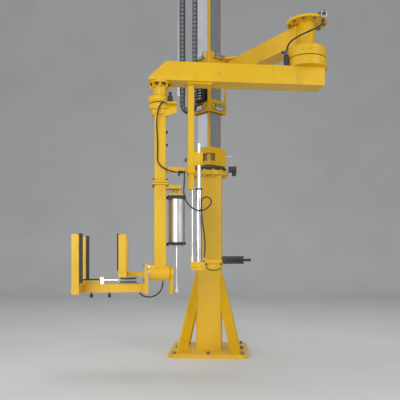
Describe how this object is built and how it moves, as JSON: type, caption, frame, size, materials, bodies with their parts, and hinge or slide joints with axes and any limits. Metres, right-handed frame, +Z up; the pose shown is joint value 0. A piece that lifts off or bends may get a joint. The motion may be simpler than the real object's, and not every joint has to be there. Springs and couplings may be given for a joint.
{
  "type": "industrial manipulator arm",
  "caption": "Floor-mounted column manipulator: a carriage climbs a square mast and carries a folding arm with a drop tube, a tilting jaw clamp and a sliding control handle.",
  "frame": {"origin": "middle of the base plate's underside, on the floor", "axes": "+Z up along the mast, +Y away from the operator's side, +X towards the elbow"},
  "size_m": [2.49, 2.0338, 4.617],
  "materials": {
    "yellow_paint": "satin safety yellow paint, lightly worn",
    "steel": "machined",
    "chrome_rod": "hard chrome",
    "aluminium": "anodised",
    "dark_metal": "black coated metal",
    "black_plastic": "matt",
    "black_rubber": "matt",
    "hose": "smooth"
  },
  "bodies": {
    "base": {"base_plate": "yellow_paint", "column_tube": "yellow_paint", "column_gussets": "yellow_paint", "column_flange": "yellow_paint", "mast_flange": "yellow_paint", "mast_tube": "yellow_paint", "mast_wear_strips": "steel", "buffer_ring": "black_rubber", "mast_collar": "yellow_paint", "mast_cap": "yellow_paint", "energy_chain": "black_plastic", "chain_channel": "steel", "supply_unit": "black_plastic"},
    "carriage": {"carriage_frame": "yellow_paint", "guide_rollers": "steel", "shoulder_bracket": "yellow_paint", "shoulder_pin": "steel", "valve_block": "black_plastic"},
    "upper_arm": {"upper_arm_beam": "yellow_paint", "elbow_hub": "yellow_paint", "elbow_hose": "hose", "elbow_fitting": "black_plastic"},
    "forearm": {"forearm_boom": "yellow_paint", "elbow_ring": "yellow_paint", "nose_housing": "yellow_paint", "drop_tube_upper": "yellow_paint", "handle_post": "yellow_paint", "guide_rod": "chrome_rod", "guide_clamp": "yellow_paint", "tube_hose": "hose", "hose_fittings": "black_plastic"},
    "handle": {"slide_tube": "steel", "slide_cap": "black_plastic", "handle_bracket": "yellow_paint", "lock_rod": "chrome_rod", "control_handle": "black_plastic", "handle_hose": "hose", "switch_hose": "hose", "handle_fittings": "black_plastic"},
    "wrist": {"drop_tube_lower": "yellow_paint", "cylinder_arm": "yellow_paint", "tilt_barrel": "aluminium", "tilt_caps": "dark_metal"},
    "tilting_head": {"tilt_shaft": "steel", "tool_plate": "yellow_paint", "tilt_lever": "yellow_paint", "fixed_jaw": "yellow_paint", "fixed_jaw_pads": "black_rubber", "jaw_barrel": "steel", "clamp_hose": "hose"},
    "tilt_rod": {"tilt_rod": "chrome_rod"},
    "moving_jaw": {"jaw_frame": "yellow_paint", "moving_jaw_pads": "black_rubber", "jaw_rod": "chrome_rod"}
  },
  "joints": [
    {"name": "lift", "type": "slide", "parent": "base", "child": "carriage", "axis": [0, 0, 1], "range_m": [-0.38, 0.95]},
    {"name": "shoulder", "type": "hinge", "parent": "carriage", "child": "upper_arm", "pos_m": [0.312, 0.02, 3.333], "axis": [0, 0, 1], "range_deg": [-20, 120]},
    {"name": "elbow", "type": "hinge", "parent": "upper_arm", "child": "forearm", "pos_m": [1.00975, -0.91169, 3.2], "axis": [0, 0, 1], "range_deg": [-15, 110]},
    {"name": "handle_height", "type": "slide", "parent": "forearm", "child": "handle", "axis": [0, 0, 1], "range_m": [-0.2, 0.2]},
    {"name": "wrist", "type": "hinge", "parent": "forearm", "child": "wrist", "pos_m": [-0.43528, -1.1447, 1.83], "axis": [0, 0, 1], "range_deg": [-10, 90]},
    {"name": "tilt", "type": "hinge", "parent": "wrist", "child": "tilting_head", "pos_m": [-0.43528, -1.1447, 0.965], "axis": [0.9872, 0.1592, 0], "range_deg": [0, 90]},
    {"name": "tilt_stroke", "type": "slide", "parent": "wrist", "child": "tilt_rod", "axis": [0, 0, 1], "range_m": [-0.002, 0.252]},
    {"name": "jaw_slide", "type": "slide", "parent": "tilting_head", "child": "moving_jaw", "axis": [0.9872, 0.1592, 0], "range_m": [0, 0.13]}
  ],
  "couplings": [
    {"joint": "tilt_stroke", "follows": "tilt", "m_per_rad": 0.1591}
  ]
}
